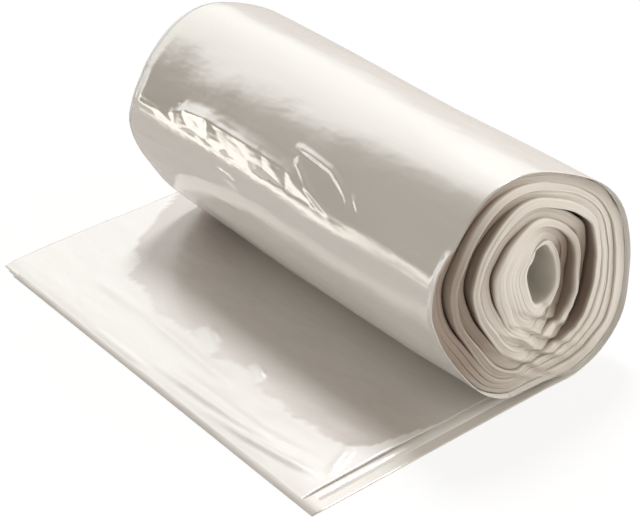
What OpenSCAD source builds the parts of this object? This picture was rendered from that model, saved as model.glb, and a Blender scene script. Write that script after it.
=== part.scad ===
// A coreless roll of clear bin bags, standing on a table with its loose end drawn out in front.
// The bags are one continuous web of thin film, folded lengthways into a flat stack of plies and
// wound up without a core. The whole roll is that one web: it runs in a spiral from the open eye
// to the outermost turn, passes under the roll and lies flat as a tail.
// Sizes are in millimetres. X runs along the roll, the tail points to -Y, and the table is Z = 0.
// The origin is on the table, under the middle of the wound roll.

/* [Web] */
// Length of the wound roll, from one end to the other
roll_l = 231; // [150:1:320]
// Thickness of the folded web, all plies together
web_t = 2.2; // [1.8:0.1:3.2]
// Plies that the web is folded into
plies = 3; // [2:1:4]
// How far each ply lies towards the far end from the one outside it, on the roll
ply_step = 0.9; // [0.5:0.1:3]
// Height of the small waves along the edges of the plies
edge_wave = 0.7; // [0:0.1:1.2]

/* [Roll] */
// Diameter of the roll, over its outermost turn
roll_d = 91; // [76:1:120]
// Air between one turn and the next
turn_gap = 1.3; // [0.8:0.1:2]
// Extra air on one side of the core, where the roll has come loose
core_slack = 4; // [0:0.1:6]
// Turns from the outside to where that air begins
slack_turn = 4.8; // [1:0.1:6]
// How far the roll's own weight presses its turns flat where it rests
sag = 1.6; // [0.3:0.1:2.4]
// Height of the soft corners of the turns, as a share of their radius
lump = 0.024; // [0:0.001:0.03]
// Soft corners round a turn
lumps = 5; // [3:1:7]
// How far the turns that have slipped along the roll lie back from its near end
slide = 8; // [0:0.5:12]

/* [Eye] */
// Width of the open eye at the web's inner end, where the eye is narrowest
eye_w = 10; // [8:0.5:24]
// Height of the open eye at the web's inner end, where the eye is lowest
eye_h = 18.5; // [14:0.5:30]
// How far the innermost turn lies behind the middle of the roll, before the loose air moves it forward
eye_back = 8; // [0:0.1:9]
// How far the eye lies above the middle of the roll
eye_up = 2.5; // [0:0.5:3]
// How far the eye leans back, for each millimetre of its height
eye_lean = 0.2; // [0:0.05:0.3]

/* [Tail] */
// Length of the tail, from under the middle of the roll to its free edge
tail_l = 110; // [70:1:180]
// How far each ply lies back from the one under it, in the tail
tail_step = 5.6; // [2:0.1:9]
// How far the outermost ply of the tail spreads past the far end of the roll
spread = 9.3; // [0:0.1:20]
// How far the tail drifts towards the near end by its free edge
drift = 6.5; // [0:0.5:12]

/* [Hidden] */
ply_t = web_t / plies;
pitch = web_t + turn_gap;
// The web winds inwards all the way round, so it sets out half a pitch outside the roll's mean radius.
roll_r = roll_d / 2 + pitch / 2;
turns = (roll_r - web_t - core_slack / 2 - eye_h / 2) / pitch;
// The eye is narrower than it is high, so the turns have more room across the roll.
side_pitch = (roll_r - web_t - core_slack / 2 - eye_w / 2) / turns;
lump_at = 115;
slack_at = 105;
// How far the web has slipped at the back and at the front of each turn, as shares of the slide
slips = [0, 0, 0, 1, 0, 0, 0, 0.9, 0, 0, 0.9, 0.25, 0, 0, 0.9, 0, 1, 0.1, 0.1];
first_slip = 0.25;
step_turn = 0.25;
quarter = 0.25;
spread_turn = 0.5;
wave_1 = 2.3;
wave_2 = 5.7;
wave_shift = 70;
steps_turn = 28;
steps_tail = 12;
// Height of the roll's middle, so that its lowest turn is pressed flat by the sag
roll_z = roll_r * swell(0) - sag;

function mix(a, b, k) = a + (b - a) * k;
function ease(k) = let (c = min(max(k, 0), 1)) c * c * (3 - 2 * c);
function swell(a) = 1 + lump * cos(round(lumps) * (a - lump_at));

// The web is followed from its free edge to the eye by one number, p. From -1 to 0 it runs along
// the tail, and from 0 on it counts degrees round the roll, from the bottom up the back.
path = concat(
    [for (i = [0 : steps_tail - 1]) i / steps_tail - 1],
    [for (i = [0 : floor(turns * steps_turn)]) i * 360 / steps_turn],
    [turns * 360]
);

// The outer face of the web in the plane across the roll, as [y, z]. Where the web passes under the
// middle of the roll it lies flat, on the table or on the turn below.
function outer_face(p) = p < 0 ? [p * tail_l, 0] : wound(p, p / 360);
function wound(p, s) =
    let (
        loose = core_slack * ease(s - slack_turn) * (1 + cos(p - slack_at)) / 2,
        wide = (roll_r - side_pitch * s - loose) * swell(p) * sin(p),
        high = -(roll_r - pitch * s - loose) * swell(p) * cos(p),
        inside = s / turns
    )
    [
        eye_back * inside + wide + eye_lean * inside * inside * high,
        max(roll_z + eye_up * inside + high, pitch * floor(s + quarter))
    ];

// The direction through the web, from its outer face to its inner one
function inward(p) =
    let (
        h = p < 0 ? 0.5 / steps_tail : 180 / steps_turn,
        t = p <= 0 ? [1, 0] : outer_face(p + h) - outer_face(p - h)
    )
    [-t.y, t.x] / norm(t);

// How far the web has slipped back along the roll at p, going easily from one listed slip to the next
function slip(i) = slips[min(i, len(slips) - 1)];
function slipped(p) =
    let (k = max(p / 360 - first_slip, 0) * 2, i = floor(k))
    slide * mix(slip(i), slip(i + 1), ease(k - i));

// Where a ply's two edges lie along X; ply 0 is the outermost, which is the lowest in the tail
function waviness(p, ply) = edge_wave * (sin(p * wave_1 + wave_shift * ply) + sin(p * wave_2)) / 2;
function back(p, ply) = ply * mix(tail_step, ply_step, ease(p / 360 / step_turn));
function near_edge(p, ply) =
    p < 0
    ? roll_l / 2 - back(0, ply) - drift * p
    : roll_l / 2 - back(p, ply) - slipped(p) + waviness(p, ply) * ease(p / 90);
function far_edge(p, ply) =
    p < 0
    ? -roll_l / 2 - back(0, ply) - spread
    : -roll_l / 2 - back(p, ply) - slipped(p) + waviness(p, ply) * ease(p / 90)
        - spread * (1 - ease(p / 360 / spread_turn));

// The section through the web at p: up the stepped near edge of the plies and down the far one
function section(p) =
    let (o = outer_face(p), n = inward(p))
    concat(
        [for (ply = [0 : plies - 1], side = [0, 1]) place(near_edge(p, ply), o, n, (ply + side) * ply_t)],
        [for (ply = [plies - 1 : -1 : 0], side = [1, 0]) place(far_edge(p, ply), o, n, (ply + side) * ply_t)]
    );
function place(x, o, n, depth) = [x, o.x + n.x * depth, o.y + n.y * depth];

sections = [for (p = path) section(p)];
points = [for (s = sections, v = s) v];
count = len(sections[0]);
last = (len(sections) - 1) * count;
skin = [
    for (i = [0 : len(sections) - 2], j = [0 : count - 1])
        let (a = i * count + j, b = i * count + (j + 1) % count)
        each [[a, b, b + count], [a, b + count, a + count]]
];
caps = [[for (j = [count - 1 : -1 : 0]) j], [for (j = [0 : count - 1]) last + j]];

// The whole web, tail and spiral, as one piece of folded film
module bag_roll() {
    color("whitesmoke")
        polyhedron(points = points, faces = concat(skin, caps), convexity = 20);
}

bag_roll();
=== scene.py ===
import math

import bmesh
import bpy
from mathutils import Matrix, Vector, noise


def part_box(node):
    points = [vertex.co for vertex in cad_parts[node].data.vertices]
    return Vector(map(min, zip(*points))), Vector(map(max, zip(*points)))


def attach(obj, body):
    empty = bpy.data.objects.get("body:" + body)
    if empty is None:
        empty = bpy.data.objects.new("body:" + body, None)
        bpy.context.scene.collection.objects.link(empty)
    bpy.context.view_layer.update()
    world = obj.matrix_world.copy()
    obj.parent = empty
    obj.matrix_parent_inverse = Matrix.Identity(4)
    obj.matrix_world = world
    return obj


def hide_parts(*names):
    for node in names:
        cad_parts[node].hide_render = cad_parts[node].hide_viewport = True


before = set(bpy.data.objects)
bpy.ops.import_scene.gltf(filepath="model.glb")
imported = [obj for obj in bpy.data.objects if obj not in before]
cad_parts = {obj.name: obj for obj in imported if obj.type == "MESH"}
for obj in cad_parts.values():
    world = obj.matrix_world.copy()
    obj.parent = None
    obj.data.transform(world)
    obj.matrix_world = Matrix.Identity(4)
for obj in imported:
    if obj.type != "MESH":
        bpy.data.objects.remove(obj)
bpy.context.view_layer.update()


# The photographer's place
# The camera stands in front of the near end of the roll and looks down on it, tilted a little to
# one side, through a long lens.
camera_azimuth = math.radians(62.6)
camera_height = math.radians(29.0)
camera_distance = 1.0323
camera_tilt = math.radians(-10.0)
camera_aim = Vector((0.0, -0.0255, 0.0221))
lens_length = 143.4

away = Vector((
    math.sin(camera_azimuth) * math.cos(camera_height),
    -math.cos(camera_azimuth) * math.cos(camera_height),
    math.sin(camera_height),
))
camera_data = bpy.data.cameras.new("camera")
camera_data.lens = lens_length
camera = bpy.data.objects.new("camera", camera_data)
bpy.context.scene.collection.objects.link(camera)
standing = Matrix.Translation(camera_aim + away * camera_distance)
looking = (-away).to_track_quat("-Z", "Y").to_matrix().to_4x4()
camera.matrix_world = standing @ looking @ Matrix.Rotation(camera_tilt, 4, "Z")
bpy.context.scene.camera = camera
bpy.context.scene.view_settings.view_transform = "Standard"


# The studio
# A white table, a soft lamp high behind the roll, and a dim room that the glossy film mirrors. On its
# walls hang a bright backdrop, a window beside the near end, a low strip of light and a faint fill.
# The camera itself sees plain white all round.
white = (1, 1, 1, 1)
table_size = 12.0
table_drop = 0.00015
table_colour = (0.80, 0.78, 0.765, 1)
mirrored_table = (0.56, 0.54, 0.535, 1)
table_glow = 0.86
lamp_direction = Vector((-0.40, 0.36, 0.84))
lamp_power = 2.15
lamp_softness = math.radians(15)
room_colour = (0.22, 0.186, 0.144, 1)
backdrop_colour = (1.05, 1.05, 1.03, 1)
backdrop_direction = Vector((-0.888, 0.46, 0.0))
backdrop_edge = (0.54, 0.63)
backdrop_foot = (-0.25, 0.25)
window_colour = (1.74, 1.65, 1.53, 1)
window_direction = Vector((0.72, 0.69, 0.0))
window_edge = (0.35, 0.95)
strip_colour = (1.9, 1.84, 1.72, 1)
strip_direction = Vector((-0.8387, -0.5446, 0.0)).normalized()
strip_edge = (0.961, 0.982)
strip_top = (math.sin(math.radians(6.5)), math.sin(math.radians(4.0)))
strip_foot = (math.sin(math.radians(-4.5)), math.sin(math.radians(-2.0)))
fill_colour = (0.50, 0.475, 0.44, 1)
fill_direction = Vector((-0.2, -0.95, 0.2)).normalized()
fill_edge = (0.72, 0.93)


def add_node(tree, kind, **settings):
    """A new node with some of its settings"""
    node = tree.nodes.new(kind)
    for label, value in settings.items():
        setattr(node, label, value)
    return node


def new_material(name):
    """An empty node material, with its output node"""
    material = bpy.data.materials.new(name)
    material.use_nodes = True
    material.node_tree.nodes.clear()
    output = add_node(material.node_tree, "ShaderNodeOutputMaterial")
    return material, material.node_tree, output


def give(tree, value, socket):
    """Gives a socket its value, which is another node's output or a constant"""
    if isinstance(value, bpy.types.NodeSocket):
        tree.links.new(value, socket)
    else:
        socket.default_value = value


def multiply(tree, first, second):
    product = add_node(tree, "ShaderNodeMath", operation="MULTIPLY")
    give(tree, first, product.inputs[0])
    give(tree, second, product.inputs[1])
    return product.outputs[0]


def mix_colours(tree, share, low, high):
    """A colour that goes from one to another with a share"""
    mix = add_node(tree, "ShaderNodeMix", data_type="RGBA")
    give(tree, share, mix.inputs[0])
    give(tree, low, mix.inputs[6])
    give(tree, high, mix.inputs[7])
    return mix.outputs[2]


def mix_shaders(tree, share, low, high, output):
    """Leads two shaders to an output, going from one to the other with a share"""
    mix = add_node(tree, "ShaderNodeMixShader")
    give(tree, share, mix.inputs["Fac"])
    give(tree, low.outputs[0], mix.inputs[1])
    give(tree, high.outputs[0], mix.inputs[2])
    give(tree, mix.outputs[0], output.inputs["Surface"])


def lay_table():
    shape = bmesh.new()
    bmesh.ops.create_grid(shape, x_segments=1, y_segments=1, size=table_size / 2)
    bmesh.ops.translate(shape, verts=shape.verts, vec=(0, 0, -table_drop))
    mesh = bpy.data.meshes.new("table")
    shape.to_mesh(mesh)
    shape.free()
    table = bpy.data.objects.new("table", mesh)
    bpy.context.scene.collection.objects.link(table)
    material, tree, output = new_material("white_table")
    ray = add_node(tree, "ShaderNodeLightPath")
    colour = mix_colours(tree, ray.outputs["Is Camera Ray"], table_colour, white)
    colour = mix_colours(tree, ray.outputs["Is Glossy Ray"], colour, mirrored_table)
    paint = add_node(tree, "ShaderNodeBsdfDiffuse")
    give(tree, colour, paint.inputs["Color"])
    glow = add_node(tree, "ShaderNodeEmission")
    give(tree, white, glow.inputs["Color"])
    mix_shaders(tree, multiply(tree, ray.outputs["Is Camera Ray"], table_glow), paint, glow, output)
    mesh.materials.append(material)


def light_studio():
    lamp_data = bpy.data.lights.new("soft_lamp", "SUN")
    lamp_data.energy = lamp_power
    lamp_data.angle = lamp_softness
    lamp = bpy.data.objects.new("soft_lamp", lamp_data)
    lamp.matrix_world = lamp_direction.to_track_quat("Z", "Y").to_matrix().to_4x4()
    bpy.context.scene.collection.objects.link(lamp)

    world = bpy.data.worlds.new("studio")
    bpy.context.scene.world = world
    world.use_nodes = True
    tree = world.node_tree
    tree.nodes.clear()
    output = add_node(tree, "ShaderNodeOutputWorld")
    place = add_node(tree, "ShaderNodeTexCoord")
    height = add_node(tree, "ShaderNodeSeparateXYZ")
    give(tree, place.outputs["Generated"], height.inputs[0])

    def share_of(values, low, high):
        """From 0 to 1 where the values pass from low to high"""
        step = add_node(tree, "ShaderNodeMapRange", interpolation_type="SMOOTHSTEP")
        give(tree, low, step.inputs["From Min"])
        give(tree, high, step.inputs["From Max"])
        give(tree, values, step.inputs["Value"])
        return step.outputs["Result"]

    def at_height(low, high):
        """From 0 to 1 between two heights, each given as the sine of its angle"""
        return share_of(height.outputs["Z"], low, high)

    def towards(direction, edge):
        """1 round a direction, and 0 away from it"""
        facing = add_node(tree, "ShaderNodeVectorMath", operation="DOT_PRODUCT")
        give(tree, direction, facing.inputs[1])
        give(tree, place.outputs["Generated"], facing.inputs[0])
        return share_of(facing.outputs["Value"], *edge)

    strip = multiply(tree, at_height(*strip_top), at_height(*strip_foot))
    strip = multiply(tree, strip, towards(strip_direction, strip_edge))
    backdrop = multiply(tree, at_height(*backdrop_foot), towards(backdrop_direction, backdrop_edge))
    walls = mix_colours(tree, backdrop, room_colour, backdrop_colour)
    walls = mix_colours(tree, towards(window_direction, window_edge), walls, window_colour)
    walls = mix_colours(tree, towards(fill_direction, fill_edge), walls, fill_colour)
    walls = mix_colours(tree, strip, walls, strip_colour)
    room = add_node(tree, "ShaderNodeBackground")
    give(tree, walls, room.inputs["Color"])
    plain = add_node(tree, "ShaderNodeBackground")
    give(tree, white, plain.inputs["Color"])
    ray = add_node(tree, "ShaderNodeLightPath")
    mix_shaders(tree, ray.outputs["Is Camera Ray"], room, plain, output)


lay_table()
light_studio()


# The web's way
# The bags are one web of film, folded into three plies. It lies flat as a tail, passes under the
# roll, and winds up the back and inwards, turn by turn, to the open eye.
roll_length = 0.231
web_thickness = 0.0022
plies = 3
roll_diameter = 0.091
turn_gap = 0.0013
core_slack = 0.004
slack_turn = 4.8
slack_angle = math.radians(105)
sag = 0.0016
lump = 0.024
lump_angle = math.radians(115)
lumps = 5
eye_width = 0.010
eye_height = 0.0185
eye_back = 0.008
eye_up = 0.0025
eye_lean = 0.2
tail_length = -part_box("bag_roll")[0][1]
spread = 0.0093
quarter = 0.25
direction_step = 0.008

pitch = web_thickness + turn_gap
roll_radius = roll_diameter / 2 + pitch / 2
turns = (roll_radius - web_thickness - core_slack / 2 - eye_height / 2) / pitch
side_pitch = (roll_radius - web_thickness - core_slack / 2 - eye_width / 2) / turns


def ease(share):
    """From 0 to 1, starting and ending gently"""
    share = min(max(share, 0.0), 1.0)
    return share * share * (3 - 2 * share)


def rising(value, start, over):
    """Eases from 0 to 1 as a value passes from the start over a length"""
    return ease((value - start) / over)


def through(value, start, start_over, end, end_over):
    """1 between a start and an end, easing to 0 at them over two lengths"""
    return ease((value - start) / start_over) * ease((end - value) / end_over)


def swell(angle):
    """The soft corners of a turn"""
    return 1 + lump * math.cos(lumps * (angle - lump_angle))


roll_height = roll_radius * swell(0) - sag


def outer_face(turn):
    """The web's outer face across the roll, at so many turns in. The tail runs from -1 to 0."""
    if turn < 0:
        return Vector((0, turn * tail_length, 0))
    angle = turn * math.tau
    loose = core_slack * ease(turn - slack_turn) * (1 + math.cos(angle - slack_angle)) / 2
    inside = turn / turns
    wide = (roll_radius - side_pitch * turn - loose) * swell(angle)
    high = (roll_radius - pitch * turn - loose) * swell(angle)
    lean = eye_lean * inside * inside
    y = eye_back * inside + wide * math.sin(angle) - lean * high * math.cos(angle)
    z = roll_height + eye_up * inside - high * math.cos(angle)
    return Vector((0, y, max(z, pitch * math.floor(turn + quarter))))


def inward(turn):
    """The direction from the web's outer face to its inner one"""
    if turn <= 0:
        return Vector((0, 0, 1))
    along = outer_face(turn + direction_step) - outer_face(max(turn - direction_step, 0))
    return Vector((0, -along.z, along.y)).normalized()


def angle_at(turn):
    """The angle round the roll in degrees, from the back over the top, at so many turns in"""
    return turn * 360 - 90


def even_stations(first, last, spacing):
    """Places along the web, in turns, about one spacing apart"""
    places = [first]
    while places[-1] < last:
        here = places[-1]
        around = tail_length if here < 0 else math.tau * max(roll_radius - pitch * here, eye_width / 2)
        there = here + spacing / around
        if here < 0 < there:
            there = 0
        places.append(min(there, last))
    return places


def rolled_sheet(name, columns, rows, place, mark_name, mark):
    """A flat sheet of film, rolled up. place(column, row) says where each point of it goes, and
    mark(column, row) what its material reads there."""
    shape = bmesh.new()
    bmesh.ops.create_grid(shape, x_segments=len(columns) - 1, y_segments=len(rows) - 1, size=0.5)
    layer = shape.verts.layers.float.new(mark_name)
    for vert in shape.verts:
        column = columns[round((vert.co.x + 0.5) * (len(columns) - 1))]
        row = rows[round((vert.co.y + 0.5) * (len(rows) - 1))]
        vert.co = place(column, row)
        vert[layer] = mark(column, row)
    bmesh.ops.recalc_face_normals(shape, faces=shape.faces)
    mesh = bpy.data.meshes.new(name)
    shape.to_mesh(mesh)
    shape.free()
    mesh.polygons.foreach_set("use_smooth", [True] * len(mesh.polygons))
    piece = bpy.data.objects.new(name, mesh)
    bpy.context.scene.collection.objects.link(piece)
    return piece


# The film
# Thin milky polyethylene with a soft gloss. Its many layers mirror more than one would, and where
# it lies loose it mirrors less. Seen on their edges, the layers are milkier and warmer. Painted
# shade makes the edges darker and browner where they lie deep between others, and a painted shadow
# of the roll greys the tail in front of it.
ripple_scale = (28, 75, 75)
ripple_detail = 3.0
ripple_strength = 0.5
haze_scale = (14, 45, 45)
haze_detail = 2.0
shade_share = 0.5
tight_colour = (0.88, 0.865, 0.84, 1)
tight_shade = (0.86, 0.83, 0.78, 1)
tight_roughness = 0.1
tight_ripple = 0.0009
tight_haze = 0.2
tight_mirror = (0.5, 0.12)
gloss_ends = (-0.08, 0.08)
gloss_roughness = (0.01, 0.12)
loose_colour = (0.90, 0.895, 0.88, 1)
loose_shade = (0.87, 0.86, 0.84, 1)
loose_roughness = 0.26
loose_ripple = 0.0010
loose_mirror = (0.10, 0.38)
# Colour of the roll's shadow, painted on the tail's top ply in front of the roll
painted_shadow_colour = (0.66, 0.62, 0.595, 1)
edge_colour = (0.895, 0.872, 0.825, 1)
edge_shade = (0.87, 0.838, 0.775, 1)
edge_roughness = 0.3
edge_ripple = 0.0004
edge_haze = 0.2
edge_mirror = 0.1
# Colour of the shade painted on the edges
painted_shade_colour = (0.42, 0.35, 0.30, 1)


def make_film_surface():
    """Small ripples, a hazier gloss in places and a slight change of colour"""
    group = bpy.data.node_groups.new("film_surface", "ShaderNodeTree")
    for way, label, kind in (
        ("INPUT", "Colour", "NodeSocketColor"),
        ("INPUT", "Shade", "NodeSocketColor"),
        ("INPUT", "Roughness", "NodeSocketFloat"),
        ("INPUT", "Haze", "NodeSocketFloat"),
        ("INPUT", "Ripple", "NodeSocketFloat"),
        ("OUTPUT", "Colour", "NodeSocketColor"),
        ("OUTPUT", "Roughness", "NodeSocketFloat"),
        ("OUTPUT", "Normal", "NodeSocketVector"),
    ):
        group.interface.new_socket(label, in_out=way, socket_type=kind)
    given = add_node(group, "NodeGroupInput")
    result = add_node(group, "NodeGroupOutput")
    place = add_node(group, "ShaderNodeTexCoord")

    def noise_at(scale, detail):
        stretch = add_node(group, "ShaderNodeMapping")
        give(group, scale, stretch.inputs["Scale"])
        give(group, place.outputs["Object"], stretch.inputs["Vector"])
        pattern = add_node(group, "ShaderNodeTexNoise")
        give(group, 1.0, pattern.inputs["Scale"])
        give(group, detail, pattern.inputs["Detail"])
        give(group, stretch.outputs["Vector"], pattern.inputs["Vector"])
        return pattern.outputs["Fac"]

    relief = add_node(group, "ShaderNodeBump")
    give(group, ripple_strength, relief.inputs["Strength"])
    give(group, noise_at(ripple_scale, ripple_detail), relief.inputs["Height"])
    give(group, given.outputs["Ripple"], relief.inputs["Distance"])
    give(group, relief.outputs["Normal"], result.inputs["Normal"])
    haze = noise_at(haze_scale, haze_detail)
    rough = add_node(group, "ShaderNodeMath", operation="MULTIPLY_ADD")
    give(group, haze, rough.inputs[0])
    give(group, given.outputs["Haze"], rough.inputs[1])
    give(group, given.outputs["Roughness"], rough.inputs[2])
    give(group, rough.outputs[0], result.inputs["Roughness"])
    share = multiply(group, haze, shade_share)
    colour = mix_colours(group, share, given.outputs["Colour"], given.outputs["Shade"])
    give(group, colour, result.inputs["Colour"])
    return group


film_surface = make_film_surface()


def make_film(name, colour, shade, roughness, ripple, haze=0.0):
    """A kind of film, with its shader and surface group. Haze is how much rougher it is in places."""
    material, tree, output = new_material(name)
    film = add_node(tree, "ShaderNodeBsdfPrincipled")
    surface = add_node(tree, "ShaderNodeGroup", node_tree=film_surface)
    give(tree, colour, surface.inputs["Colour"])
    give(tree, shade, surface.inputs["Shade"])
    give(tree, ripple, surface.inputs["Ripple"])
    give(tree, surface.outputs["Colour"], film.inputs["Base Color"])
    give(tree, roughness, film.inputs["Roughness"])
    if haze:
        give(tree, roughness, surface.inputs["Roughness"])
        give(tree, haze, surface.inputs["Haze"])
        give(tree, surface.outputs["Roughness"], film.inputs["Roughness"])
    give(tree, surface.outputs["Normal"], film.inputs["Normal"])
    give(tree, film.outputs[0], output.inputs["Surface"])
    return material, tree, film, surface


def read_mark(tree, mark_name, low, high):
    """Turns a mark on the piece from 0 to 1 into a value from low to high"""
    mark = add_node(tree, "ShaderNodeAttribute", attribute_name=mark_name)
    scale = add_node(tree, "ShaderNodeMapRange")
    give(tree, low, scale.inputs["To Min"])
    give(tree, high, scale.inputs["To Max"])
    give(tree, mark.outputs["Fac"], scale.inputs["Value"])
    return scale.outputs["Result"]


def colour_by_mark(tree, film, surface, mark_name, marked):
    """Colours the film by a mark on the piece"""
    colour = mix_colours(tree, read_mark(tree, mark_name, 0, 1), surface.outputs["Colour"], marked)
    give(tree, colour, film.inputs["Base Color"])


def make_tight_film():
    """Mirrors most where it is wound tight, and less under the roll, where it hangs loose. It is
    glossier towards the far end."""
    material, tree, film, surface = make_film(
        "tight_film", tight_colour, tight_shade, tight_roughness, tight_ripple, tight_haze)
    give(tree, read_mark(tree, "slack", *tight_mirror), film.inputs["Metallic"])
    place = add_node(tree, "ShaderNodeTexCoord")
    along = add_node(tree, "ShaderNodeSeparateXYZ")
    give(tree, place.outputs["Object"], along.inputs[0])
    gloss = add_node(tree, "ShaderNodeMapRange")
    give(tree, gloss_ends[0], gloss.inputs["From Min"])
    give(tree, gloss_ends[1], gloss.inputs["From Max"])
    give(tree, gloss_roughness[0], gloss.inputs["To Min"])
    give(tree, gloss_roughness[1], gloss.inputs["To Max"])
    give(tree, along.outputs["X"], gloss.inputs["Value"])
    give(tree, gloss.outputs["Result"], surface.inputs["Roughness"])
    return material


def make_loose_film():
    """Greyer and glossier where the roll's shadow is painted on it, in front of the roll"""
    material, tree, film, surface = make_film(
        "loose_film", loose_colour, loose_shade, loose_roughness, loose_ripple)
    give(tree, read_mark(tree, "painted_roll_shadow", *loose_mirror), film.inputs["Metallic"])
    # Paints the roll's shadow on the tail in front of it, by the mark
    colour_by_mark(tree, film, surface, "painted_roll_shadow", painted_shadow_colour)
    return material


def make_film_edges():
    """Darker and browner by painted shade where the edges lie deep between others, on the front of the
    outer turns and at the back of the inner ones
    """
    material, tree, film, surface = make_film(
        "film_edges", edge_colour, edge_shade, edge_roughness, edge_ripple, edge_haze)
    give(tree, edge_mirror, film.inputs["Metallic"])
    # Paints shade on the edges, by the mark
    colour_by_mark(tree, film, surface, "painted_shade", painted_shade_colour)
    return material


def finish_film(piece, material, gauge=0.0):
    """Gives a sheet of film its thickness, its finish and its place in the roll"""
    if gauge:
        wall = piece.modifiers.new("thickness", "SOLIDIFY")
        wall.thickness = gauge
        wall.offset = -1
    piece.data.materials.append(material)
    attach(piece, "root")
    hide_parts("bag_roll")


tight_film = make_tight_film()
loose_film = make_loose_film()
film_edges = make_film_edges()


# The slump
# Loosely wound film is never quite round: every turn follows the same slow bumps. The noise has a
# fixed seed, because without one its vectors differ from run to run.
noise_seed = 3
slump_depth = 0.0010
slump_rate = Vector((9, 22, 22))
crumple_depth = 0.0004
crumple_rate = Vector((20, 60, 60))
slump_foot = (0.003, 0.012)

noise.seed_set(noise_seed)


def slump(point):
    """Moves a point of the roll with the slow bumps of the turns round it"""
    slow = noise.noise_vector(Vector(a * b for a, b in zip(point, slump_rate)))
    quick = noise.noise_vector(Vector(a * b for a, b in zip(point, crumple_rate)))
    move = slow * slump_depth + quick * crumple_depth
    move.x = 0
    return point + move * rising(point.z, *slump_foot)


def bumps(across, along, pattern):
    """Noise from -1 to 1. A pattern is how fast it changes in each direction, and where it is read."""
    return noise.noise(Vector((across * pattern[0], along * pattern[1], pattern[2])))


# The long fold
# Down the front of the roll the outer film has slipped into one long flat fold, crumpled into
# small facets along its upper edge. A place on it is the distance along the roll and the angle
# round it, in degrees, from the back over the top.
fold_crest = ((-0.094, 158.5), (-0.076, 148), (-0.060, 145.5), (-0.030, 145.5), (-0.005, 146.5),
              (0.010, 147.5), (0.022, 150.5), (0.046, 154.7), (0.085, 157))
fold_foot = ((-0.094, 159), (-0.060, 157.6), (0.022, 157.2), (0.085, 157.2))
facet_top = ((-0.096, 154), (-0.080, 143), (-0.060, 140.5), (-0.030, 141), (0.000, 142), (0.010, 147),
             (0.030, 154), (0.060, 157))
fold_facing = 153.5
fold_dip = 0.0001
fold_rise = 8
fold_fall = 7
fold_least = 0.4
fold_ends = (-0.096, 0.01, 0.088, 0.02)
facet_turn = math.radians(22)
facet_size = (0.014, 0.006)
facet_depth = 0.00028
facet_fade = (2.5, 1.2)
facet_bend = 0.5
bend_rate = 0.7
bend_slice = 4.4
corner_slice = 2.5
small_folds = (
    (0.0019, (0.004, 133.0, 0), (0.009, 133.1, 0.0005), (0.016, 133.6, 0.0007),
     (0.032, 135.3, 0.00064), (0.041, 139.5, 0.0005), (0.047, 143, 0.00036), (0.051, 148, 0.00014),
     (0.052, 150, 0)),
    (0.0021, (0.008, 138.5, 0), (0.011, 141, 0.0006), (0.016, 144, 0.0006), (0.022, 148, 0.0005),
     (0.032, 152.5, 0.0003), (0.045, 157.5, 0)),
    (0.0016, (0.049, 140.0, 0), (0.053, 142.5, 0.0004), (0.057, 146, 0.00034), (0.060, 150, 0)),
    (0.0022, (-0.047, 166.2, 0), (-0.039, 167, 0.00042), (-0.028, 168, 0.00042), (-0.022, 168.6, 0)),
    (0.0024, (-0.119, 176.5, 0), (-0.105, 175.2, 0.00055), (-0.085, 173.4, 0.00055), (-0.064, 171.4, 0)),
    (0.0050, (-0.126, 153.2, 0.00027), (-0.099, 153.2, 0.00027), (-0.088, 153.5, 0)),
    (0.0044, (0.050, 153.6, 0), (0.060, 153.6, 0.00012), (0.083, 153.4, 0.00018),
     (0.090, 153.2, 0.00027), (0.125, 153.2, 0.00027)),
)
crest = 0.0002
belly = 0.0012
belly_angles = (166, 40, 252, 30)
belly_ends = (-0.128, 0.06, 0.112, 0.04)
front_angles = (110, 190)
arc_unit = math.radians(1) * roll_radius


def between(points, place):
    """Reads a line of points at a place"""
    if place <= points[0][0]:
        return points[0][1]
    for (before, low), (after, high) in zip(points, points[1:]):
        if place <= after:
            return low + (high - low) * (place - before) / (after - before)
    return points[-1][1]


def fold_height(x, angle):
    """The long fold's flat face, which looks the same way all over"""
    foot = between(fold_foot, x)
    top = min(between(fold_crest, x), foot - fold_least)
    line = Vector((math.cos(math.radians(fold_facing)), math.sin(math.radians(fold_facing))))

    def off(at):
        round_face = outer_face((at + 90) / 360)
        return line.dot(Vector((round_face.y, round_face.z)))

    if angle < top:
        rise = off(foot) - off(top) - fold_dip
        high = rise * max(1 - (top - angle) / fold_rise, 0) ** 2
    elif angle < foot:
        high = off(foot) - off(angle) - fold_dip
    else:
        high = -fold_dip * max(1 - (angle - foot) / fold_fall, 0)
    return high * through(x, *fold_ends)


def facet_height(x, angle):
    """Flat facets between sharp creases, in a slanting net"""
    top = between(facet_top, x)
    foot = between(fold_foot, x)
    share = through(angle, top, facet_fade[0], foot, facet_fade[1])
    if not share:
        return 0
    arc = angle * arc_unit
    u = (x * math.cos(facet_turn) + arc * math.sin(facet_turn)) / facet_size[0]
    v = (arc * math.cos(facet_turn) - x * math.sin(facet_turn)) / facet_size[1]
    bend = noise.noise_vector(Vector((u * bend_rate, v * bend_rate, bend_slice)))
    u += facet_bend * bend.x
    v += facet_bend * bend.y
    i = math.floor(u)
    j = math.floor(v)
    p = u - i
    q = v - j
    side = 1
    if (i + j) % 2:
        i += 1
        p = 1 - p
        side = -1

    def corner(a, b):
        return noise.cell(Vector((i + side * a + 0.5, j + b + 0.5, corner_slice)))

    if p + q < 1:
        high = corner(0, 0) * (1 - p - q) + corner(1, 0) * p + corner(0, 1) * q
    else:
        high = corner(1, 1) * (p + q - 1) + corner(0, 1) * (1 - p) + corner(1, 0) * (1 - q)
    return high * facet_depth * share


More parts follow.
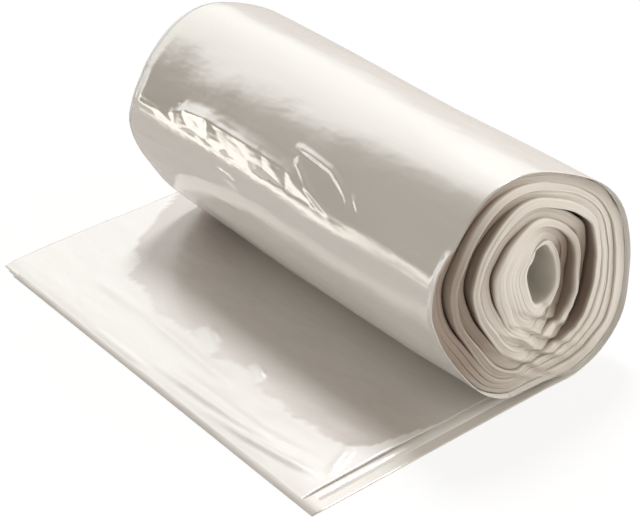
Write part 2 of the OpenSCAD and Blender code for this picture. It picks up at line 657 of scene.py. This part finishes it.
def crease_height(crease, across, along, unit):
    """How high a crease stands at a place, as a ridge with straight sides. A crease is its width and
    the points that it runs through, with its height at each. The unit turns the second figure of a
    point into metres."""
    width, *points = crease
    here = Vector((across, along))
    best = 0.0
    for (x1, a1, low), (x2, a2, high) in zip(points, points[1:]):
        start = Vector((x1, a1 * unit))
        run = Vector((x2, a2 * unit)) - start
        share = min(max((here - start).dot(run) / run.length_squared, 0.0), 1.0)
        off = (here - start - run * share).length
        if off < 2 * width:
            side = 1 - (math.sqrt(off * off + crest * crest) - crest) / width
            best = max(best, (low + (high - low) * share) * side)
    return best


def roll_relief(x, turn):
    """How far the outer film stands off the turn under it"""
    angle = angle_at(turn)
    hang = belly * through(angle, *belly_angles) * through(x, *belly_ends)
    if not front_angles[0] < angle < front_angles[1]:
        return hang
    folds = hang + sum(crease_height(fold, x, angle * arc_unit, arc_unit) for fold in small_folds)
    return max(fold_height(x, angle), -fold_dip) + facet_height(x, angle) + folds


# The plies of the outer turn and the tail
# The web's three plies lie one on another. In the tail they have slid apart like a fan, with long
# low wrinkles near the front, and round the roll their edges lie almost flush.
ply_step = 0.0009
tail_step = 0.0056
step_turn = 0.06
spread_turn = 0.5
drift = 0.0065
film_gauge = 0.00022
ply_gap = 0.00032
near_wave = (14, 3.3, 0.5)
far_wave = (14, 3.3, 9.5)
edge_wave = 0.0006
wave_turn = 0.2
front_step = 0.0007
front_step_turns = (0.9, 0.1)
front_gap = 0.00004
front_reach = 0.012
lip_height = 0.0009
lip_reach = 0.005
lip_angles = (136, 10, 184, 12)
droop_depth = (0.0003, 0.0010)
droop_reach = 0.007
droop_angles = (136, 10, 170, 10)
droop_turns = (0.3, 0.2)
far_reach = 0.0014
far_reach_turns = (0.25, 0.25)
outer_turn_end = 1.02
slack_front = (178, 30)
slack_back = (0, 40)
even_turn = 0.65

# A wrinkle is its width and the points that it runs through, with its height at each.
tail_wrinkles = (
    (0.0026, (-0.014, -0.1012, 0), (0.010, -0.1002, 0.0011), (0.050, -0.0984, 0.0012),
     (0.104, -0.0930, 0)),
    (0.0022, (-0.006, -0.0966, 0), (0.020, -0.0958, 0.0009), (0.060, -0.0948, 0.0010),
     (0.098, -0.0896, 0)),
    (0.0022, (0.030, -0.1038, 0), (0.060, -0.1018, 0.0010), (0.090, -0.0976, 0.0011),
     (0.105, -0.0950, 0)),
    (0.0028, (-0.052, -0.0848, 0), (-0.030, -0.0854, 0.0007), (0.010, -0.0866, 0.0007),
     (0.030, -0.0868, 0)),
    (0.0026, (0.093, -0.0765, 0), (0.0985, -0.0800, 0.0013), (0.103, -0.0880, 0.0013),
     (0.105, -0.0925, 0)),
    (0.0026, (-0.066, -0.1080, 0), (-0.050, -0.1072, 0.0009), (-0.025, -0.1066, 0.0009),
     (-0.012, -0.1064, 0)),
    (0.0034, (-0.098, -0.0862, 0), (-0.080, -0.0856, 0.0006), (-0.055, -0.0846, 0.0006),
     (-0.036, -0.0838, 0)),
    (0.0026, (-0.022, -0.0700, 0), (-0.014, -0.0718, 0.0009), (-0.006, -0.0740, 0)),
    (0.0022, (0.020, -0.0712, 0), (0.026, -0.0732, 0.0008), (0.031, -0.0752, 0)),
)
soft_bumps = (16, 60, 7.7)
soft_depth = 0.0007
quick_bumps = (55, 160, 3.1)
quick_depth = 0.0003
bumps_from = (0.035, 0.03)
flat_edge = 0.006

# The roll's shadow is painted on the tail's top ply in front of the roll, as far as this line. It is
# painted fainter in the middle and where the film nips under the roll, and left out on two gleams,
# which are set out like the wrinkles. A faint shade is also painted at the tail's near front corner.
painted_shadow_front = (
    (-0.138, -0.016), (-0.132, -0.025), (-0.117, -0.045), (-0.102, -0.062), (-0.092, -0.065),
    (-0.083, -0.074), (-0.068, -0.075), (-0.045, -0.0805), (-0.0126, -0.0785), (0.000, -0.082),
    (0.009, -0.0785), (0.021, -0.077), (0.056, -0.0805), (0.095, -0.0775), (0.1015, -0.071),
    (0.104, -0.055), (0.108, -0.030),
)
painted_shadow_edge = 0.0026
ragged_depth = 0.0022
ragged_bumps = (90, 60, 1.7)
frayed_bumps = (260, 200, 5.2)
frayed_share = 0.6
middle_share = 0.45
middle_ends = (-0.10, 0.05, 0.11, 0.07)
nip_share = 0.8
nip_along = (-0.08, 0.08)
nip_across = (-0.056, 0.02)
corner_share = 0.3
corner_along = (0.02, 0.08)
corner_across = (0.096, 0.008)
gleams = (
    (0.0040, (-0.020, -0.0745, 1.3), (-0.004, -0.0790, 1.3)),
    (0.0030, (0.020, -0.0735, 1.2), (0.030, -0.0770, 1.2)),
)


def tail_relief(x, turn):
    """How far the tail's top ply stands off the ones under it"""
    if turn > 0:
        return 0
    y = turn * tail_length
    high = sum(crease_height(wrinkle, x, y, 1.0) for wrinkle in tail_wrinkles)
    soft = 0.5 + 0.5 * bumps(x, y, soft_bumps)
    quick = 0.5 + 0.5 * bumps(x, y, quick_bumps)
    high += (soft_depth * soft + quick_depth * quick) * rising(-y, *bumps_from)
    return high * rising(y, -tail_length, flat_edge)


def painted_roll_shadow(x, turn):
    """1 where the roll's shadow is painted on the tail's top ply, in front of the roll"""
    if turn > 0:
        return 0
    y = turn * tail_length
    ragged = bumps(x, y, ragged_bumps) + frayed_share * bumps(x, y, frayed_bumps)
    inside = ease((y - between(painted_shadow_front, x) + ragged_depth * ragged) / painted_shadow_edge + 0.5)
    inside *= 1 - middle_share * through(x, *middle_ends)
    inside *= 1 - nip_share * rising(x, *nip_along) * rising(y, *nip_across)
    for gleam in gleams:
        inside *= 1 - ease(crease_height(gleam, x, y, 1.0))
    return max(inside, corner_share * rising(x, *corner_along) * rising(-y, *corner_across))


def slack(x, turn):
    """1 under the roll, where the film hangs loose, and 0 where it is wound tight"""
    return max(rising(angle_at(turn), *slack_front), rising(-angle_at(turn), *slack_back))


def step_at(turn):
    return tail_step + (ply_step - tail_step) * ease(turn / step_turn)


def near_edge(turn, ply):
    if turn < 0:
        return roll_length / 2 - ply * tail_step - drift * turn
    wave = edge_wave * bumps(turn, ply, near_wave)
    return roll_length / 2 - ply * step_at(turn) + wave * ease(turn / wave_turn)


def far_edge(turn, ply):
    if turn < 0:
        return -roll_length / 2 - ply * tail_step - spread
    wave = edge_wave * bumps(turn, ply, far_wave)
    reach = spread * (1 - ease(turn / spread_turn)) + far_reach * rising(turn, *far_reach_turns)
    return -roll_length / 2 - ply * step_at(turn) - reach + wave * ease(turn / wave_turn)


def end_curl(x, turn):
    """How far the film stands out at the roll's ends: a lip at the near one, a droop at the far one"""
    angle = angle_at(turn)
    lip = lip_height * ease(1 - (near_edge(turn, 0) - x) / lip_reach) * through(angle, *lip_angles)
    droop = droop_depth[0] + (droop_depth[1] - droop_depth[0]) * through(angle, *droop_angles)
    droop *= ease(1 - (x - far_edge(turn, 0)) / droop_reach) * rising(turn, *droop_turns)
    return lip - droop


def across_ply(ply, across, turn):
    """The distance along the roll of a place from 0 to 1 across a ply"""
    low = far_edge(turn, ply)
    return low + (near_edge(turn, ply) - low) * across


def place_in_ply(ply, relief):
    """Places the points of a ply. At the tail's free edge the plies lie closer together, each a
    little behind the one under it."""
    def place(across, turn):
        x = across_ply(ply, across, turn)
        face = outer_face(turn) + inward(turn) * (ply * ply_gap)
        closing = (ply_gap - front_gap) * ply * ease(1 - (turn + 1) * tail_length / front_reach)
        face.y += ply * front_step * rising(-turn, *front_step_turns)
        lift = relief(x, turn) - end_curl(x, turn) - closing
        return slump(Vector((x, face.y, face.z))) + inward(turn) * lift
    return place


def evenly(count):
    return [step / count for step in range(count + 1)]


def stations(*stretches):
    """Places along the web: each stretch gives its first and last turn and its spacing"""
    places = []
    for first, last, spacing in stretches:
        places += even_stations(first, last, spacing)[1 if places else 0:]
    return places


def columns_at(*stretches):
    """Places across the lower ply, from 0 to 1: each stretch gives its last x and its spacing"""
    far = far_edge(even_turn, 0)
    wide = near_edge(even_turn, 0) - far
    places = [0.0]
    for last, spacing in stretches:
        count = max(round((last - far) / spacing - places[-1] * wide / spacing), 1)
        first = places[-1]
        places += [first + ((last - far) / wide - first) * step / count for step in range(1, count + 1)]
    places[-1] = 1.0
    return places


lower_columns = columns_at((-0.107, 0.0011), (-0.096, 0.0022), (0.004, 0.00095), (0.056, 0.0007),
                           (0.090, 0.0014), (0.109, 0.0038), (0.1155, 0.0008))
lower_rows = stations((-1, 0, 0.006), (0, 0.56, 0.0035), (0.56, 0.61, 0.001), (0.61, 0.695, 0.00055),
                      (0.695, 0.78, 0.001), (0.78, outer_turn_end, 0.0035))
middle_columns = evenly(60)
middle_rows = stations((-1, outer_turn_end, 0.0035))
upper_columns = evenly(190)
upper_rows = stations((-1, -0.30, 0.0011), (-0.30, outer_turn_end, 0.0035))


def lay_ply(name, ply, columns, rows, relief, mark_name, mark, material):
    piece = rolled_sheet(name, columns, rows, place_in_ply(ply, relief), mark_name,
                         lambda across, turn: mark(across_ply(ply, across, turn), turn))
    finish_film(piece, material, film_gauge)


lay_ply("film_lower_ply", 0, lower_columns, lower_rows,
        lambda x, turn: -roll_relief(x, turn), "slack", slack, tight_film)
lay_ply("film_middle_ply", 1, middle_columns, middle_rows,
        lambda x, turn: 0, "painted_roll_shadow", lambda x, turn: 0, loose_film)
# The top ply carries the mark of the roll's painted shadow
lay_ply("film_upper_ply", 2, upper_columns, upper_rows,
        tail_relief, "painted_roll_shadow", painted_roll_shadow, loose_film)


# The turns
# Under the outer turn the same web winds on to the eye. At both ends of the roll its loose plies
# puff out and fill most of the air between the turns. Each turn has slipped back a little on one
# side, and under the eye the edges are crushed into slanting pleats.

# How far each turn has slipped back, and how far in it parts from its neighbour, in millimetres. The
# first figure of a row is at the back, and the others follow over the top, down the front and under.
slips = (
    (0, 0, 0, 0),
    (0, 2.4, 6.5, 1.0),
    (0.2, 1.8, 1.0, 0.4),
    (0.0, 2.0, 6.5, 1.0),
    (0.3, 0.6, 0.4, 0.3),
    (7.0, 2.5, 3.6, 0.5),
    (0.3, 1.4, 0.4, 0.4),
    (6.5, 3.4, 0.3, 1.0),
    (7.5, 3.0, 0.6, 0.5),
    (0.8, 1.0, 1.0, 1.0),
)
seams = (
    (0.8, 0.8, 0.8, 0.8),
    (0.05, 0.25, 1.0, 0.9),
    (0.06, 0.25, 1.0, 0.9),
    (0.06, 0.2, 1.0, 0.9),
    (0.9, 0.2, 1.0, 0.9),
    (0.9, 0.3, 1.0, 0.7),
    (1.0, 0.5, 0.9, 0.5),
    (1.0, 0.7, 0.4, 0.4),
    (1.0, 0.7, 0.3, 0.4),
    (1.0, 0.8, 0.3, 0.6),
)
last_seam = 0.0010
first_row_turn = 0.95
row_spacing = 0.0014
start_turns = 0.07
start_sink = 0.00115
start_back = 0.004
early = 0.08
slant = 0.0011
slant_turns = (6.0, 2.0)
ply_slip = 0.0006
near_slip = (6, 2.2, 0.5)
far_slip = (6, 2.2, 7.5)
far_slip_share = 0.15
near_inset = 0.0006

# How the plies puff out: dome gives how far back an edge lies, as a share of its seam, through the
# depth of the web.
dome = ((0.0, 1.0), (0.06, 0.5), (0.16, 0.18), (0.28, 0.04), (0.38, 0.0), (0.5, 0.0), (0.62, 0.0),
        (0.72, 0.04), (0.84, 0.18), (0.94, 0.5), (1.0, 1.0))
margins = (0.060, 0.030, 0.015, 0.010, 0.006, 0.0035, 0.0018)
puff_reach = 0.011
puff_limit = 0.0013
first_puff = 0.97
first_puff_limit = 0.0034
least_puff = 0.0002
far_puff_turns = (1.4, 0.6)
even_share = 0.49
lean_out = 0.44
lean_back = 0.42
lean_slip = 0.004
end_turns = 0.3
end_share = 0.03
least_thickness = 0.00005
eye_wall = 0.0022
eye_wall_turns = (1.12, 0.1, 0.45, 0.35)

# The grooves between the plies come after these depths of the dome. They are deeper under the front
# and shallower at the back.
groove_places = {0.28: 1 / 3, 0.62: 2 / 3}
groove_width = 0.025
groove_share = 0.02
groove_depth = (0.00008, 0.0007)
groove_bumps = (5, 9.1, 2.5)
groove_from = (0.35, 0.5)
deep_angle = 225
deep_spread = 25
deep_more = 2
calm_spread = 50
calm_share = 0.7

# Painted shade on the edges, darker and browner: deep between others, on the walls behind their
# fronts, on the front of the outer turns and at the back of the inner ones.
shade_depth = 0.0060
shade_start = 0.0006
shade_walls = 0.0017
front_shade_angle = 178
front_shade_spread = 60
front_shade_share = 0.86
shade_turns = 5.0
back_shade_share = 0.5
back_shade_spread = 55
eye_depth = 0.7
eye_shade = 0.0

# The pleats under the eye, and the small waves of all the edges
pleat_run = Vector((0.788, -0.616))
pleat_spacing = 0.0060
pleat_height = 0.0042
pleat_middle = Vector((-0.001, 0.021))
pleat_spread = Vector((0.013, 0.012))
pleat_bend = 0.35
pleat_rate = 110
pleat_slice = 5.5
pleat_peak = 0.75
pleat_reach = 0.004
ruffle_depth = 0.0009
ruffle_reach = 0.012
ruffle_rate = Vector((30, 100, 100))
ruffle_foot = (0.004, 0.01)


def read_quarters(table, turn):
    """Reads a table that has four figures for each turn, easing from one to the next"""
    at = max(turn - quarter, 0) * 4
    flat = [figure for row in table for figure in row]
    here = min(int(at), len(flat) - 2)
    share = ease(at - here)
    return flat[here] * (1 - share) + flat[here + 1] * share


def slipped(turn):
    """How far the web's near edge has slipped back, so many turns in"""
    return read_quarters(slips, turn + early) / 1000


def air_outside(turn):
    """The air between this turn and the one outside it"""
    if turn < 1:
        return 0
    outside = plies * ply_gap if turn < 2 else web_thickness
    return max((outer_face(turn) - outer_face(turn - 1)).length - outside, 0.0)


def puff_share(turn, other):
    """How much of the air between two turns the first one fills. The one that has slipped back more
    fills most of it, and the one that stands out stays thin."""
    more = slipped(turn) - slipped(other)
    return even_share + lean_out * ease(more / lean_slip) - lean_back * ease(-more / lean_slip)


def pleat_lift(y, z):
    """The crushed edges under the eye lie over each other in slanting pleats"""
    off = Vector((y, z)) - pleat_middle
    share = math.exp(-(off.x / pleat_spread.x) ** 2 - (off.y / pleat_spread.y) ** 2)
    bend = noise.noise_vector(Vector((y * pleat_rate, z * pleat_rate, pleat_slice)))
    across = y * pleat_run.y - z * pleat_run.x
    phase = across / pleat_spacing + pleat_bend * bend.x
    phase -= math.floor(phase)
    tooth = phase / pleat_peak if phase < pleat_peak else (1 - phase) / (1 - pleat_peak)
    return pleat_height * share * (tooth - 0.5 + 0.5 * bend.y)


def ruffle(point, back):
    """Small waves along the edges of the web"""
    share = 1 - ease(back / ruffle_reach)
    move = noise.noise_vector(Vector(a * b for a, b in zip(point, ruffle_rate)))
    return point + Vector((0, move.y, move.z)) * ruffle_depth * share * rising(point.z, *ruffle_foot)


def near_angle(turn, angle, spread_angle):
    """1 at an angle round the roll, falling to 0 away from it"""
    off = math.remainder(angle_at(turn) - angle, 360)
    return math.exp(-(off / spread_angle) ** 2)


def painted_shade_at(turn, depth, back):
    """How much shade is painted on a place on an edge, from 0 to 1"""
    if turn + 1 > turns and depth > eye_depth:
        return eye_shade
    outside = slipped(turn - 1) if turn >= 1 + quarter else 0.0
    inside = slipped(turn + 1) if turn + 1 < turns else slipped(turn)
    deep = max(slipped(turn) - min(outside, inside), 0) / shade_depth
    deep += front_shade_share * near_angle(turn, front_shade_angle, front_shade_spread) * ease(shade_turns - turn)
    deep += back_shade_share * near_angle(turn, 0, back_shade_spread) * ease(turn - shade_turns)
    return min(deep + max(back - shade_start, 0) / shade_walls, 1.0)


def edge_columns(side):
    """Places round the web's edge: the side, how far back, how deep in the web, the share of the seam
    that it lies back, and 1 in a groove"""
    columns = [(side, back, 0.0, 0.0, 0.0) for back in margins]
    for depth, share in dome:
        columns.append((side, 0.0, depth, share, 0.0))
        if depth in groove_places:
            groove = groove_places[depth]
            columns.append((side, 0.0, groove - groove_width, groove_share, 0.0))
            columns.append((side, 0.0, groove, groove_share, 1.0))
            columns.append((side, 0.0, groove + groove_width, groove_share, 0.0))
    return columns + [(side, back, 1.0, 0.0, 0.0) for back in reversed(margins)]


def web_at(turn):
    """The web's whole thickness at a row, what of it puffs out and in, how far it is sunk, and its
    seams on both sides"""
    left = turns - turn
    if turn < 2:
        out = min(first_puff * air_outside(turn), first_puff_limit)
    else:
        out = min(puff_share(turn, turn - 1) * air_outside(turn), puff_limit)
    within = least_puff
    start, start_over, end, end_over = eye_wall_turns
    within += eye_wall * through(turn, turns - start, start_over, turns - end, end_over)
    next_seam = last_seam
    if turn + 1 < turns:
        inner_air = min(puff_share(turn, turn + 1) * air_outside(turn + 1), puff_limit)
        within += inner_air * ease((left - 1) / end_turns)
        next_seam = read_quarters(seams, turn + 1) / 1000
    out += (air_outside(turn) - out) * (1 - ease(left / end_turns))
    sink = start_sink * (1 - rising(turn, first_row_turn, start_turns))
    thinning = end_share + (1 - end_share) * ease(left / end_turns)
    whole = (web_thickness - sink + out + within) * thinning
    return whole, out, within, sink, read_quarters(seams, turn) / 1000 * thinning, next_seam * thinning


def make_turns():
    rows = even_stations(first_row_turn, turns, row_spacing)
    near = edge_columns("near")
    far = [("far", back, 1.0 - depth, *rest) for _, back, depth, *rest in near]
    columns = near + far + near[:1]
    known = {turn: (web_at(turn), outer_face(turn), inward(turn), slipped(turn)) for turn in rows}

    def recess(column, turn):
        """How far a column lies behind the front of its own edge"""
        back, depth, share, in_groove = column[1:]
        seam, next_seam = known[turn][0][4:]
        parting = seam if depth < 0.5 else next_seam
        cut = 0.0
        if in_groove:
            wander = 0.5 + 0.5 * bumps(turn, depth, groove_bumps)
            cut = groove_depth[0] + (groove_depth[1] - groove_depth[0]) * rising(wander, *groove_from)
            cut *= 1 + deep_more * near_angle(turn, deep_angle, deep_spread)
            cut *= 1 - calm_share * near_angle(turn, 0, calm_spread)
        return back + (parting if back else share * parting) + cut

    def place(column, turn):
        side, back, depth = column[:3]
        whole, out, within, sink = known[turn][0][:4]
        face, inside, slide_back = known[turn][1:]
        puff = 1 - ease(back / puff_reach)
        if side == "near":
            slip = ply_slip * bumps(turn, depth, near_slip)
            hidden = start_back * (1 - rising(turn, first_row_turn, start_turns))
            slope = slant * (1 - depth) * ease((slant_turns[0] - turn) / slant_turns[1])
            x = roll_length / 2 - near_inset - recess(column, turn) - slide_back + slip - hidden - slope
        else:
            slip = ply_slip * bumps(turn, depth, far_slip)
            x = -roll_length / 2 - far_reach + recess(column, turn) - slide_back * far_slip_share + slip
            puff *= rising(turn, *far_puff_turns)
        flat = max(whole - (out + within) * (1 - puff), least_thickness)
        at = face + inside * (sink - out * puff + depth * flat)
        point = ruffle(slump(Vector((x, at.y, at.z))), back)
        if side == "near":
            point.x += pleat_lift(point.y, point.z) * (1 - ease(back / pleat_reach))
        return point

    # The mark is how much shade is painted on each place of the edges
    piece = rolled_sheet("film_turns", columns, rows, place, "painted_shade",
                         lambda column, turn: painted_shade_at(turn, column[2], recess(column, turn)))
    shape = bmesh.new()
    shape.from_mesh(piece.data)
    bmesh.ops.remove_doubles(shape, verts=shape.verts, dist=1e-7)
    bmesh.ops.holes_fill(shape, edges=[edge for edge in shape.edges if edge.is_boundary])
    bmesh.ops.recalc_face_normals(shape, faces=shape.faces)
    shape.to_mesh(piece.data)
    shape.free()
    finish_film(piece, film_edges)


make_turns()
